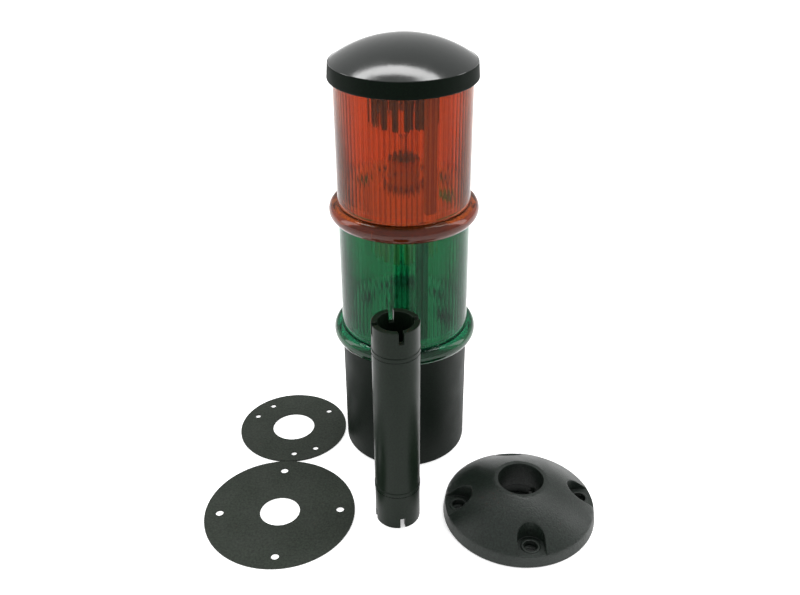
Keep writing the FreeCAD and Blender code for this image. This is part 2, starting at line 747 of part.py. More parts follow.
def foot():
    """Domed foot: a hollow moulding with the pole socket and four open screw pockets."""
    envelope = foot_envelope()
    floor_z = foot_rim_height - foot_screw_head_depth - foot_wall
    walls = around(foot_screw_count, foot_screw_angle,
                   lambda angle: pocket_form(foot_pocket_r + foot_pocket_wall, 0, foot_height, angle))
    under = around(foot_screw_count, foot_screw_angle,
                   lambda angle: pocket_form(foot_pocket_r, -OVER, floor_z + OVER, angle)
                   .common(disc(foot_r - foot_rim_wall, foot_height, -OVER)))
    bosses = around(foot_screw_count, foot_screw_angle,
                    lambda angle: peg(foot_screw_head_r + foot_screw_ring, foot_rim_height,
                                      foot_screw_circle_r, 0, angle))
    ribs = around(foot_screw_count, foot_screw_angle + FULL_TURN / foot_screw_count / 2,
                  lambda angle: bar(base_socket_r + foot_collar_wall / 2, foot_r - foot_rim_wall / 2,
                                    rib_thick, foot_height, 0, angle))
    kept = [piece.common(envelope) for piece in walls]
    braces = [piece.common(envelope) for piece in ribs]
    shape = envelope.cut(foot_hollow()).fuse(kept).cut(under).fuse(bosses + braces)
    pockets = around(foot_screw_count, foot_screw_angle,
                     lambda angle: pocket_form(foot_pocket_r, foot_rim_height, foot_height, angle))
    shape = shape.cut(pockets)
    rings = around(foot_screw_count, foot_screw_angle,
                   lambda angle: peg(foot_screw_head_r + foot_screw_ring, foot_screw_ring_height,
                                     foot_screw_circle_r, foot_rim_height, angle))
    heads = around(foot_screw_count, foot_screw_angle,
                   lambda angle: peg(foot_screw_head_r, foot_height, foot_screw_circle_r,
                                     foot_rim_height - foot_screw_head_depth, angle))
    holes = around(foot_screw_count, foot_screw_angle,
                   lambda angle: peg(foot_screw_r, foot_height, foot_screw_circle_r, -OVER, angle))
    stop_z = foot_height - foot_socket_depth
    lip = ring(base_socket_r - socket_lip, base_socket_r + OVER, socket_lip_height, stop_z - socket_lip_height)
    keys = pole_keys(stop_z, foot_key_angle)
    shape = shape.cut(key_room(stop_z))
    return shape.fuse(rings + [lip] + keys).removeSplitter().cut(heads + holes)


def gasket(radius, hole_r, screw_circle_r, screw_r, angles):
    """Flat gasket with a middle hole and screw holes at the given angles."""
    holes = [peg(screw_r, gasket_thick + 2 * OVER, screw_circle_r, -OVER, angle) for angle in angles]
    return ring(hole_r, radius, gasket_thick, 0).cut(holes)


def foot_gasket():
    angles = [foot_gasket_angle + k * FULL_TURN / foot_screw_count for k in range(foot_screw_count)]
    return gasket(foot_r, foot_gasket_hole_r, foot_screw_circle_r, foot_screw_r, angles)


def base_gasket():
    """The base's gasket has its three screw holes and two more for a four-screw panel."""
    angles = [base_screw_angle + k * FULL_TURN / base_screw_count for k in range(base_screw_count)]
    extra = [base_screw_angle + base_gasket_extra_turn, base_screw_angle - base_gasket_extra_turn]
    return gasket(base_gasket_r, base_gasket_hole_r, base_screw_circle_r, base_screw_r, angles + extra)


# ---- every piece in its place -----------------------------------------------------------------
def save_module(colour, z, angle, below_angle):
    """One lamp module: its lens, carrier, lamp, duct and contacts, with the socket's mouth at z."""
    pieces = {
        "lens": lens(),
        "carrier": carrier(),
        "seal": seal_ring(),
        "lamp_holder": lamp_holder(),
        "bulb_cap": bulb_cap(),
        "bulb_glass": bulb_glass(),
        "filament": filament(),
        "wiring_duct": wiring_duct(angle),
        "contact_blades": contact_blades(contact_level, angle),
        "contact_tracks": contact_tracks(below_angle),
    }
    for name, shape in pieces.items():
        save(colour + "_" + name, moved(shape, 0, 0, z))


save("base_housing", base_housing())
save("base_plate", base_plate())
save("base_contact_blades", contact_blades(base_height - contact_drop, green_contact_angle))
save("terminal_block", terminal_block())
save("terminal_screws", terminal_screws())
save_module("green", green_z, green_contact_angle, green_contact_angle)
save_module("orange", orange_z, orange_contact_angle, green_contact_angle)
save("cap", moved(cap(), 0, 0, cap_z))
save("cap_seal", moved(seal_ring(), 0, 0, cap_z))
save("pole", moved(pole(), pole_x, pole_y, 0))
save("foot", moved(foot(), foot_x, foot_y, 0))
save("foot_gasket", moved(foot_gasket(), foot_gasket_x, foot_gasket_y, 0))
save("base_gasket", moved(base_gasket(), base_gasket_x, base_gasket_y, 0))
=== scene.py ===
import math
from types import SimpleNamespace

import bmesh
import bpy
from bpy.props import FloatProperty, FloatVectorProperty, IntProperty, PointerProperty
from mathutils import Matrix, Vector


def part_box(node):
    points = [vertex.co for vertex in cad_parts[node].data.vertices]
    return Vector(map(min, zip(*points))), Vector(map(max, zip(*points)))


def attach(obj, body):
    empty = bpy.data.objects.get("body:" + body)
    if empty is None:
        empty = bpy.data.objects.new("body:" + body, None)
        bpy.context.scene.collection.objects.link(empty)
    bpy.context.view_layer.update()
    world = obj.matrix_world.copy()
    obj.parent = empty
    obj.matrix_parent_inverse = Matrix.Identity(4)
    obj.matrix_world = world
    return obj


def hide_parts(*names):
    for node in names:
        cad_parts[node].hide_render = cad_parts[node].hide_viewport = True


bl_info = {
    "name": "Stack light",
    "version": (1, 0, 0),
    "blender": (4, 5, 0),
    "location": "3D View > Sidebar > Stack light",
    "description": "Dresses a signal tower and its mounting pieces around a packed frame",
    "category": "Object",
}

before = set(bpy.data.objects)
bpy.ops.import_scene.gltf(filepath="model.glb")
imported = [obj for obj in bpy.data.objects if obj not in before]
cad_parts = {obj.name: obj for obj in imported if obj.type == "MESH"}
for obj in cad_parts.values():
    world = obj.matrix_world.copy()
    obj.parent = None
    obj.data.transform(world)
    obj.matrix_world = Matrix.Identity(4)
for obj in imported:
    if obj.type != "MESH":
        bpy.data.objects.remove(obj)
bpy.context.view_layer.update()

MM = 0.001
COLOURS = ("green", "orange")       # the modules, from the base up

# the lenses
BEAD_STEPS = 28
STEPS_PER_FLUTE = 4
EDGE_ROUND = 0.3 * MM
STEP = 0.1 * MM                     # between the two rings of a sharp step
CARRIER_HEIGHT = 2.5 * MM           # of the plate that lies on the ledge
LEDGE_WIDTH = 2.5 * MM
FLUTE_START = 2.0 * MM              # above the carrier

# the bayonet: lugs on a lens's neck and grooves in its socket
LUG_ANGLE = 30.0                    # the first lug, degrees from +X
LUG_PITCH = 120.0
LUG_SPAN = 12.0
LUG_REACH = 1.1 * MM
LUG_HEIGHT = 2.4 * MM
LUG_BELOW_EDGE = 2.2 * MM
GROOVE_TOP = 5.1 * MM               # above the mouth
RELEASE_TURN = 20.0

# the housings and the gaskets
DOME_RISE = 12.5 * MM               # of the cap's polished dome above its matt rim
HOUSING_EDGE = 0.4 * MM             # broken edges of the base and the foot
SLIM_EDGE = 0.3 * MM                # of the cap and the pole
SHEET_EDGE = 0.15 * MM              # of the gaskets

# the meshes
CORNER_LIMIT = 25.0                 # a profile's gentler turns are left as they are, degrees
CORNER_STEPS = 3
CORNER_SHARE = 0.45                 # of a side, at most, so that two rounded corners never meet
LATHE_MERGE = 0.001 * MM
CAD_MERGE = 0.002 * MM
FLAT_LIMIT = 1.0                    # neighbouring faces that turn less than this become one, degrees
BREAK_LIMIT = 40.0                  # edges sharper than this are broken, degrees
LENS_SHARP = 35.0                   # edges sharper than this stay crisp in a lens, degrees
SHELL_SHARP = 50.0                  # and in a housing

# the materials
NOISE_LOW, NOISE_HIGH = 0.3, 0.7    # the band in which nearly all of a noise pattern lies
FLOW_LOW, FLOW_HIGH = 0.35, 0.65    # the narrower band of the flow lines
GLOSS_PATCH = 18 * MM               # width of the patches in which a plastic's gloss changes
GRAIN_RELIEF = 0.25                 # height of a grain, as a share of its width
FLOW_WIDTH = 5 * MM
FLOW_STRETCH = 0.03                 # the flow lines' width as a share of their height
FLUTE_LINE = 0.2                    # half the width of a flute's painted shade line, as a share of the flute
LINE_STRETCH = 0.05                 # a metal's lines, their height as a share of their length
LINE_GLOSS = 0.3                    # how far the lines change its roughness, as a share of it
GLASS_WAVE = 8 * MM
GLASS_RELIEF = 0.5 * MM
PAPER_GLOW = 0.45                   # the paper's own light, which keeps it white under weak lamps

# the stage
FLOOR_DROP = 0.05 * MM              # so that no gasket shares a face with the floor
LIGHT_AIM = (0, 0, 0.12)
OVERHEAD_PLACE = (0.05, 0.24, 1.25)
OVERHEAD_SIZE = (1.7, 0.2)
SIDE_PLACE = (1.0, 0.1, 0.6)        # of the right light, which the left one mirrors
SIDE_SIZE = (0.3, 0.9)
SENSOR_WIDTH = 36.0                 # in millimetres, as the lens is
CLIP_START = 10 * MM


# ---- colours and nodes ----------------------------------------------------------------------
def linear(hex_colour):
    """An sRGB hex value as linear red, green, blue and one."""
    channels = [int(hex_colour[k:k + 2], 16) / 255 for k in (1, 3, 5)]
    shades = [c / 12.92 if c <= 0.04045 else ((c + 0.055) / 1.055) ** 2.4 for c in channels]
    return (*shades, 1.0)


def through(dye, power, share=1.0):
    """The dye through more plastic, for a power above one, or less, dimmed to a share."""
    return tuple(c ** power * share for c in dye[:3]) + (1.0,)


def add_node(tree, kind, inputs=None, **settings):
    """Adds a node, sets its properties, and links or sets its inputs."""
    node = tree.nodes.new(kind)
    for name, value in settings.items():
        setattr(node, name, value)
    for name, value in (inputs or {}).items():
        if isinstance(value, bpy.types.NodeSocket):
            tree.links.new(value, node.inputs[name])
        else:
            node.inputs[name].default_value = value
    return node


def new_material(name):
    """An empty node material and its tree."""
    material = bpy.data.materials.new(name)
    material.use_nodes = True
    material.node_tree.nodes.clear()
    return material, material.node_tree


def finish_material(tree, shader):
    """Joins the shader to the material's surface."""
    add_node(tree, "ShaderNodeOutputMaterial", {"Surface": shader.outputs[0]})


# ---- sizes and colours that a user would change ---------------------------------------------
class StackLightTower(bpy.types.PropertyGroup):
    """Sizes of the lenses, and the dyes of the modules."""
    body_radius: FloatProperty(
        name="Body radius", description="Outside of a lens, above its bead",
        default=36.9 * MM, unit="LENGTH")
    lens_wall: FloatProperty(
        name="Lens wall", description="Thickness of a lens",
        default=2.5 * MM, unit="LENGTH")
    bead_radius: FloatProperty(
        name="Bead radius", description="Half-round bead round a lens's socket",
        default=5.0 * MM, unit="LENGTH")
    socket_gap: FloatProperty(
        name="Socket gap", description="Room between a socket and the neck in it",
        default=0.3 * MM, unit="LENGTH")
    mouth_lip: FloatProperty(
        name="Mouth lip", description="Flat wall at the mouth of a socket",
        default=1.5 * MM, unit="LENGTH")
    flutes: IntProperty(
        name="Flutes", description="Upright flutes round the inside of a lens", default=82)
    flute_depth: FloatProperty(
        name="Flute depth", description="Depth of the flutes",
        default=0.25 * MM, unit="LENGTH")
    orange: FloatVectorProperty(
        name="Orange", description="Dye of the orange lens and its carrier",
        subtype="COLOR", size=4, default=linear("#C0662C"))
    green: FloatVectorProperty(
        name="Green", description="Dye of the green lens and its carrier",
        subtype="COLOR", size=4, default=linear("#2E8F68"))


class StackLightStage(bpy.types.PropertyGroup):
    """Camera, floor and lights."""
    camera_back: FloatProperty(
        name="Camera back", description="Distance in front of the tower",
        default=456.3 * MM, unit="LENGTH")
    camera_height: FloatProperty(
        name="Camera height", description="Height above the floor",
        default=366.4 * MM, unit="LENGTH")
    camera_tilt: FloatProperty(
        name="Camera tilt", description="Downward tilt of the view",
        default=math.radians(30.46), unit="ROTATION")
    camera_pan: FloatProperty(
        name="Camera pan", description="Turn of the view to the left",
        default=math.radians(0.33), unit="ROTATION")
    camera_roll: FloatProperty(
        name="Camera roll", description="Roll of the view",
        default=math.radians(-0.50), unit="ROTATION")
    camera_lens: FloatProperty(
        name="Lens", description="Focal length in millimetres", default=40.24)
    floor_size: FloatProperty(
        name="Floor", description="Side of the floor", default=60.0, unit="LENGTH")
    key_power: FloatProperty(
        name="Key light", description="Power of the overhead light in watts", default=13.0)
    side_power: FloatProperty(
        name="Side lights", description="Power of each side light in watts", default=3.0)
    sky: FloatProperty(
        name="Surroundings", description="Brightness of the room", default=0.8)


# ---- materials ------------------------------------------------------------------------------
def moulded_plastic(name, colour, roughness, grain_mm, grain_depth, mottle, spread=0.06,
                    specular=0.3):
    """A plastic or rubber skin: an even grain in relief and tone, and a gloss that wanders."""
    material, tree = new_material(name)
    place = add_node(tree, "ShaderNodeTexCoord")
    grain = add_node(tree, "ShaderNodeTexNoise", {
        "Vector": place.outputs["Object"], "Scale": 1 / (grain_mm * MM), "Detail": 2.0,
        "Roughness": 0.6})
    cloud = add_node(tree, "ShaderNodeTexNoise", {
        "Vector": place.outputs["Object"], "Scale": 1 / GLOSS_PATCH, "Detail": 3.0})
    gloss = add_node(tree, "ShaderNodeMapRange", {
        "Value": cloud.outputs["Fac"], "From Min": NOISE_LOW, "From Max": NOISE_HIGH,
        "To Min": roughness - spread, "To Max": roughness + spread})
    tone = add_node(tree, "ShaderNodeMapRange", {
        "Value": grain.outputs["Fac"], "From Min": NOISE_LOW, "From Max": NOISE_HIGH,
        "To Min": 1 - mottle, "To Max": 1 + mottle})
    tint = add_node(tree, "ShaderNodeMix", {
        "Factor": 1.0, 6: colour, 7: tone.outputs["Result"]},
        data_type="RGBA", blend_type="MULTIPLY")
    bump = add_node(tree, "ShaderNodeBump", {
        "Height": grain.outputs["Fac"], "Strength": grain_depth,
        "Distance": grain_mm * MM * GRAIN_RELIEF})
    shader = add_node(tree, "ShaderNodeBsdfPrincipled", {
        "Base Color": tint.outputs[2], "Roughness": gloss.outputs["Result"],
        "Normal": bump.outputs["Normal"], "IOR": 1.5, "Specular IOR Level": specular})
    finish_material(tree, shader)
    return material


def lens_polycarbonate(name, dye, clearness, streak, flutes=0, painted_flute_shade=0.0, ior=1.22,
                       painted_glow=0.0):
    """Dyed polycarbonate, with upright flow lines and, where fluted, a painted shade line in each
    flute.

    The real IOR is 1.58. It is lower here, because the white room would wash out the colour.
    """
    material, tree = new_material(name)
    place = add_node(tree, "ShaderNodeTexCoord")
    stretch = add_node(tree, "ShaderNodeMapping", {
        "Vector": place.outputs["Object"], "Scale": (1.0, 1.0, FLOW_STRETCH)})
    flow = add_node(tree, "ShaderNodeTexNoise", {
        "Vector": stretch.outputs["Vector"], "Scale": 1 / FLOW_WIDTH, "Detail": 3.0,
        "Roughness": 0.5})
    tone = add_node(tree, "ShaderNodeMapRange", {
        "Value": flow.outputs["Fac"], "From Min": FLOW_LOW, "From Max": FLOW_HIGH,
        "To Min": 1 - streak, "To Max": 1 + streak})
    turn = add_node(tree, "ShaderNodeTexGradient", {"Vector": place.outputs["Object"]},
                    gradient_type="RADIAL")
    count = add_node(tree, "ShaderNodeMath", {0: turn.outputs["Fac"], 1: float(flutes)},
                     operation="MULTIPLY")
    across = add_node(tree, "ShaderNodeMath", {0: count.outputs[0], 1: 0.5},
                      operation="PINGPONG")
    # Painted shade: the dye is darkened in a line at the edge of each flute.
    line = add_node(tree, "ShaderNodeMapRange", {
        "Value": across.outputs[0], "From Min": 0.0, "From Max": FLUTE_LINE,
        "To Min": 1 - painted_flute_shade, "To Max": 1.0})
    both = add_node(tree, "ShaderNodeMath", {
        0: tone.outputs["Result"], 1: line.outputs["Result"]}, operation="MULTIPLY")
    tint = add_node(tree, "ShaderNodeMix", {"Factor": 1.0, 6: dye, 7: both.outputs[0]},
                    data_type="RGBA", blend_type="MULTIPLY")
    gloss = add_node(tree, "ShaderNodeMapRange", {
        "Value": flow.outputs["Fac"], "From Min": FLOW_LOW, "From Max": FLOW_HIGH,
        "To Min": 0.03, "To Max": 0.1})
    # The emission is painted light: a glow in the dye's colour, which no lamp gives.
    shader = add_node(tree, "ShaderNodeBsdfPrincipled", {
        "Base Color": tint.outputs[2], "Roughness": gloss.outputs["Result"], "IOR": ior,
        "Transmission Weight": clearness, "Emission Color": dye, "Emission Strength": painted_glow})
    finish_material(tree, shader)
    return material


def plain_metal(name, colour, roughness, line_mm):
    """Metal with the fine level lines that drawing, turning or rolling leaves in its gloss.

    The real lines are a few hundredths of a millimetre wide and are drawn wider, so that they show.
    """
    material, tree = new_material(name)
    place = add_node(tree, "ShaderNodeTexCoord")
    stretch = add_node(tree, "ShaderNodeMapping", {
        "Vector": place.outputs["Object"], "Scale": (LINE_STRETCH, LINE_STRETCH, 1.0)})
    lines = add_node(tree, "ShaderNodeTexNoise", {
        "Vector": stretch.outputs["Vector"], "Scale": 1 / (line_mm * MM), "Detail": 3.0})
    gloss = add_node(tree, "ShaderNodeMapRange", {
        "Value": lines.outputs["Fac"], "From Min": NOISE_LOW, "From Max": NOISE_HIGH,
        "To Min": roughness * (1 - LINE_GLOSS), "To Max": roughness * (1 + LINE_GLOSS)})
    shader = add_node(tree, "ShaderNodeBsdfPrincipled", {
        "Base Color": colour, "Metallic": 1.0, "Roughness": gloss.outputs["Result"]})
    finish_material(tree, shader)
    return material


def blown_glass(name):
    """Blown lamp glass: clear and smooth, with slow waves that bend what is behind it."""
    material, tree = new_material(name)
    place = add_node(tree, "ShaderNodeTexCoord")
    waves = add_node(tree, "ShaderNodeTexNoise", {
        "Vector": place.outputs["Object"], "Scale": 1 / GLASS_WAVE, "Detail": 1.0})
    bump = add_node(tree, "ShaderNodeBump", {
        "Height": waves.outputs["Fac"], "Strength": 0.1, "Distance": GLASS_RELIEF})
    shader = add_node(tree, "ShaderNodeBsdfPrincipled", {
        "Base Color": linear("#FDFDFD"), "Roughness": 0.0, "IOR": 1.5,
        "Transmission Weight": 1.0, "Normal": bump.outputs["Normal"]})
    finish_material(tree, shader)
    return material


def paper_sweep(name):
    """Matt white paper: no reflection, and only a faint soft shadow under each piece."""
    material, tree = new_material(name)
    shader = add_node(tree, "ShaderNodeBsdfPrincipled", {
        "Base Color": linear("#FAFAFA"), "Roughness": 0.9,
        "Emission Color": linear("#FFFFFF"), "Emission Strength": PAPER_GLOW})
    finish_material(tree, shader)
    return material


# ---- mesh helpers ---------------------------------------------------------------------------
def arc(centre, radius, start, end, steps):
    """Points (radius, height) along an arc of a profile, angles in degrees."""
    points = []
    for k in range(steps + 1):
        turn = math.radians(start + (end - start) * k / steps)
        points.append((centre[0] + radius * math.cos(turn),
                       centre[1] + radius * math.sin(turn)))
    return points


def soften(outline, radius):
    """Rounds the sharp corners of a closed profile."""
    points = []
    for k, point in enumerate(outline):
        here = Vector(point)
        back = Vector(outline[k - 1]) - here
        ahead = Vector(outline[(k + 1) % len(outline)]) - here
        turn = math.pi - back.angle(ahead)
        if turn < math.radians(CORNER_LIMIT):
            points.append(point)
            continue
        reach = min(radius * math.tan(turn / 2), back.length * CORNER_SHARE,
                    ahead.length * CORNER_SHARE)
        start = here + back.normalized() * reach
        end = here + ahead.normalized() * reach
        for step in range(CORNER_STEPS + 1):
            t = step / CORNER_STEPS
            spot = start * (1 - t) ** 2 + here * 2 * t * (1 - t) + end * t ** 2
            points.append((spot.x, spot.y))
    return points


def lathe(bm, outline, steps):
    """Spins a closed profile of (radius, height) points about the tower's axis."""
    verts = [bm.verts.new((r, 0, z)) for r, z in outline]
    edges = [bm.edges.new(pair) for pair in zip(verts, verts[1:])]
    edges.append(bm.edges.new((verts[-1], verts[0])))
    bmesh.ops.spin(bm, geom=verts + edges, axis=(0, 0, 1), cent=(0, 0, 0), angle=2 * math.pi,
                   steps=steps, use_merge=True)
    bmesh.ops.remove_doubles(bm, verts=bm.verts, dist=LATHE_MERGE)
    bmesh.ops.recalc_face_normals(bm, faces=bm.faces)


def piece(name, bm, body, materials, sharp):
    """Makes the object: smooth faces, sharp edges kept, riding on its body."""
    limit = math.radians(sharp)
    for edge in bm.edges:
        edge.smooth = not (edge.is_manifold and edge.calc_face_angle(0) > limit)
    for face in bm.faces:
        face.smooth = True
    mesh = bpy.data.meshes.new(name)
    bm.to_mesh(mesh)
    bm.free()
    for material in materials:
        mesh.materials.append(material)
    made = bpy.data.objects.new(name, mesh)
    bpy.context.scene.collection.objects.link(made)
    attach(made, body)
    return made


def refined(name, node, body, materials, width, choose=None):
    """A CAD node's own form with its sharp edges broken, as a mould leaves them.

    Where there is more than one material, choose says which of them a face's middle gets.
    """
    bm = bmesh.new()
    bm.from_mesh(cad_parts[node].data)
    bmesh.ops.remove_doubles(bm, verts=bm.verts, dist=CAD_MERGE)
    bmesh.ops.dissolve_limit(bm, angle_limit=math.radians(FLAT_LIMIT), verts=bm.verts,
                             edges=bm.edges)
    limit = math.radians(BREAK_LIMIT)
    corners = [e for e in bm.edges if e.is_manifold and abs(e.calc_face_angle_signed(0)) > limit]
    bmesh.ops.bevel(bm, geom=corners, offset=width, offset_type="OFFSET", affect="EDGES",
                    segments=2, profile=0.5, material=-1, clamp_overlap=False)
    if choose:
        for face in bm.faces:
            face.material_index = choose(face.calc_center_median())
    made = piece(name, bm, body, materials, SHELL_SHARP)
    weigh = made.modifiers.new("even shading", "WEIGHTED_NORMAL")
    weigh.keep_sharp = True
    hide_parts(node)
    return made


def dress(node, material):
    """Gives a CAD node its finish."""
    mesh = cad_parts[node].data
    mesh.materials.clear()
    mesh.materials.append(material)


# ---- lenses ---------------------------------------------------------------------------------
def lens_sizes(colour, tower, low, high):
    """A lens's radii, and the heights of its steps above its mouth."""
    size = SimpleNamespace(length=high.z - low.z)
    size.body = tower.body_radius
    size.inner = size.body - tower.lens_wall
    size.socket = size.body + tower.socket_gap
    size.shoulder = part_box(colour + "_seal")[1].z - low.z
    carrier_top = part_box(colour + "_lamp_holder")[0].z - low.z
    size.ledge_top = carrier_top - CARRIER_HEIGHT
    size.flute_start = carrier_top + FLUTE_START
    size.lug_top = size.length - LUG_BELOW_EDGE
    size.lug_foot = size.lug_top - LUG_HEIGHT
    size.groove_foot = GROOVE_TOP - LUG_HEIGHT - 2 * tower.socket_gap
    return size


def lens_outline(size, tower):
    """The profile of a lens: up its outside from the mouth, and down its inside."""
    bead = tower.bead_radius
    mouth = size.socket + tower.mouth_lip
    middle = math.sqrt(bead ** 2 - (mouth - size.body) ** 2)
    start = math.degrees(math.asin(-middle / bead))
    rounded = arc((size.body, middle), bead, start, 90, BEAD_STEPS)
    neck = [(size.body, size.lug_foot - STEP), (size.body, size.lug_foot),
            (size.body, size.lug_top), (size.body, size.lug_top + STEP),
            (size.body, size.length)]
    wall = [(size.inner, size.length), (size.inner, size.flute_start),
            (size.inner, size.flute_start - STEP), (size.inner, size.ledge_top)]
    ledge = [(size.inner - LEDGE_WIDTH, size.ledge_top), (size.inner - LEDGE_WIDTH, size.shoulder)]
    socket = [(size.socket, size.shoulder), (size.socket, GROOVE_TOP + STEP),
              (size.socket, GROOVE_TOP), (size.socket, size.groove_foot),
              (size.socket, size.groove_foot - STEP)]
    return [(size.socket, 0.0)] + rounded + neck + wall + ledge + socket


def press(bm, radius, low, high, start, span):
    """Moves the wall at a radius out by a lug's reach, between two heights, on three equal arcs."""
    for vert in bm.verts:
        reach = math.hypot(vert.co.x, vert.co.y)
        turn = math.degrees(math.atan2(vert.co.y, vert.co.x)) - start
        near = abs(reach - radius) < EDGE_ROUND
        if low < vert.co.z < high and near and turn % LUG_PITCH < span:
            vert.co.xy *= (reach + LUG_REACH) / reach


def press_bayonet(bm, size):
    """Three lugs on the neck, and in the socket three grooves that go up and then along."""
    lug_start = LUG_ANGLE - LUG_SPAN / 2
    entry = lug_start - RELEASE_TURN
    bend = size.groove_foot - STEP / 2
    press(bm, size.body, size.lug_foot - STEP / 2, size.lug_top + STEP / 2, lug_start, LUG_SPAN)
    press(bm, size.socket, bend, GROOVE_TOP + STEP / 2, entry, LUG_SPAN + RELEASE_TURN)
    press(bm, size.socket, -STEP, bend, entry, LUG_SPAN)


def press_flutes(bm, size, tower):
    """Upright flutes in the wall above the carrier."""
    for vert in bm.verts:
        reach = math.hypot(vert.co.x, vert.co.y)
        if vert.co.z > size.flute_start - STEP / 2 and abs(reach - size.inner) < EDGE_ROUND:
            turn = math.atan2(vert.co.y, vert.co.x) * tower.flutes
            vert.co.xy *= 1 + tower.flute_depth * (0.5 - 0.5 * math.cos(turn)) / reach


def lens_piece(colour, tower):
    """Lens with its bead, bayonet grooves and lugs, fluted inside."""
    node = colour + "_lens"
    low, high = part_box(node)
    size = lens_sizes(colour, tower, low, high)
    bm = bmesh.new()
    lathe(bm, soften(lens_outline(size, tower), EDGE_ROUND), tower.flutes * STEPS_PER_FLUTE)
    press_bayonet(bm, size)
    press_flutes(bm, size, tower)
    for face in bm.faces:
        face.material_index = face.calc_center_median().z < size.shoulder
    bmesh.ops.translate(bm, verts=bm.verts, vec=(0, 0, low.z))
    dye = tuple(getattr(tower, colour))
    # Polycarbonate from a polished mould. The thin wall is clear enough to show the hub behind
    # it. Its fine upright stripes come partly from the flutes and partly from painted shade lines.
    wall = lens_polycarbonate(colour + "_polycarbonate", dye, clearness=0.93, streak=0.2,
                              flutes=tower.flutes, painted_flute_shade=0.6)
    # The same plastic below the ledge, where bead and socket make it thick: a deep, dark shade.
    thick = lens_polycarbonate("thick_" + colour + "_polycarbonate", through(dye, 1.5, 0.5),
                               clearness=0.75, streak=0.1, ior=1.4)
    made = piece(colour + "_lens_shell", bm, colour + "_module", [wall, thick], LENS_SHARP)
    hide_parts(node)


class STACKLIGHT_OT_lenses(bpy.types.Operator):
    """Make both lenses"""
    bl_idname = "stacklight.lenses"
    bl_label = "Lenses"

    def execute(self, context):
        for colour in COLOURS:
            lens_piece(colour, context.scene.stack_light_tower)
        return {"FINISHED"}


# ---- housings and mounting pieces -----------------------------------------------------------
# The real grain of these surfaces, about 0.1 to 0.2 mm, is too fine to show. Each is drawn as
# coarse as it needs to show, at the width that its material is given.
class STACKLIGHT_OT_base(bpy.types.Operator):
    """Finish the base and its plate"""
    bl_idname = "stacklight.base"
    bl_label = "Base"

    def execute(self, context):
        # ABS from a fine-grained mould: dull black with a speckle and no clear reflection.
        satin = moulded_plastic("moulded_black_abs", linear("#09120C"), roughness=0.5,
                                grain_mm=0.9, grain_depth=0.2, mottle=0.4, specular=0.1)
        dress("base_plate", satin)
        refined("base_shell", "base_housing", "root", [satin], HOUSING_EDGE)
        return {"FINISHED"}


class STACKLIGHT_OT_cap(bpy.types.Operator):
    """Finish the cap, with its matt rim and its polished dome"""
    bl_idname = "stacklight.cap"
    bl_label = "Cap"

    def execute(self, context):
        # ABS from the grained side of the mould: a flat, deep black with almost no sheen.
        rim = moulded_plastic("matt_black_abs", linear("#030C05"), roughness=0.55,
                              grain_mm=0.7, grain_depth=0.4, mottle=0.5, specular=0.05)
        # ABS from the polished side: it mirrors the overhead light as one bright shape.
        gloss = moulded_plastic("polished_black_abs", linear("#181C1A"), roughness=0.14,
                                grain_mm=0.4, grain_depth=0.02, mottle=0.1, spread=0.03,
                                specular=0.5)
        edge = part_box("cap")[1].z - DOME_RISE
        refined("cap_shell", "cap", "cap_body", [rim, gloss], SLIM_EDGE,
                lambda spot: spot.z > edge)
        return {"FINISHED"}


class STACKLIGHT_OT_pole(bpy.types.Operator):
    """Finish the pole"""
    bl_idname = "stacklight.pole"
    bl_label = "Pole"

    def execute(self, context):
        # Aluminium tube, etched and anodised black. The dyed oxide hides the metal, so it looks
        # like a satin skin: even, with one long soft highlight.
        tube = moulded_plastic("anodised_black_tube", linear("#0F1911"), roughness=0.34,
                               grain_mm=0.9, grain_depth=0.15, mottle=0.3, specular=0.13)
        refined("pole_tube", "pole", "root", [tube], SLIM_EDGE)
        return {"FINISHED"}


class STACKLIGHT_OT_foot(bpy.types.Operator):
    """Finish the foot"""
    bl_idname = "stacklight.foot"
    bl_label = "Foot"

    def execute(self, context):
        # Nylon from a spark-eroded mould: black under a grey sheen that its grain breaks up.
        grained = moulded_plastic("grained_black_nylon", linear("#141C17"), roughness=0.42,
                                  grain_mm=1.0, grain_depth=0.45, mottle=0.6, specular=0.34)
        refined("foot_shell", "foot", "root", [grained], HOUSING_EDGE)
        return {"FINISHED"}


class STACKLIGHT_OT_gaskets(bpy.types.Operator):
    """Finish the gaskets of the foot and the base"""
    bl_idname = "stacklight.gaskets"
    bl_label = "Gaskets"

    def execute(self, context):
        # Rubber, rolled to a sheet and punched: grey-black and dull, mottled by its powder.
        sheet = moulded_plastic("sheet_rubber", linear("#20271F"), roughness=0.7,
                                grain_mm=1.2, grain_depth=0.5, mottle=0.45)
        refined("foot_gasket_sheet", "foot_gasket", "root", [sheet], SHEET_EDGE)
        refined("base_gasket_sheet", "base_gasket", "root", [sheet], SHEET_EDGE)
        return {"FINISHED"}


# ---- inside the tower -----------------------------------------------------------------------
class STACKLIGHT_OT_carriers(bpy.types.Operator):
    """Finish the carriers with their hubs"""
    bl_idname = "stacklight.carriers"
    bl_label = "Carriers"

    def execute(self, context):
        for colour in COLOURS:
            dye = tuple(getattr(context.scene.stack_light_tower, colour))
            # Polycarbonate with the lens's dye, moulded thin and hardly clear: a pale floor in
            # the module's colour. It has a painted glow, which stands in for light that reaches it
            # from all round.
            dyed = lens_polycarbonate("floor_" + colour + "_polycarbonate", through(dye, 0.5),
                                      clearness=0.1, streak=0.1, painted_glow=0.5)
            dress(colour + "_carrier", dyed)
        return {"FINISHED"}


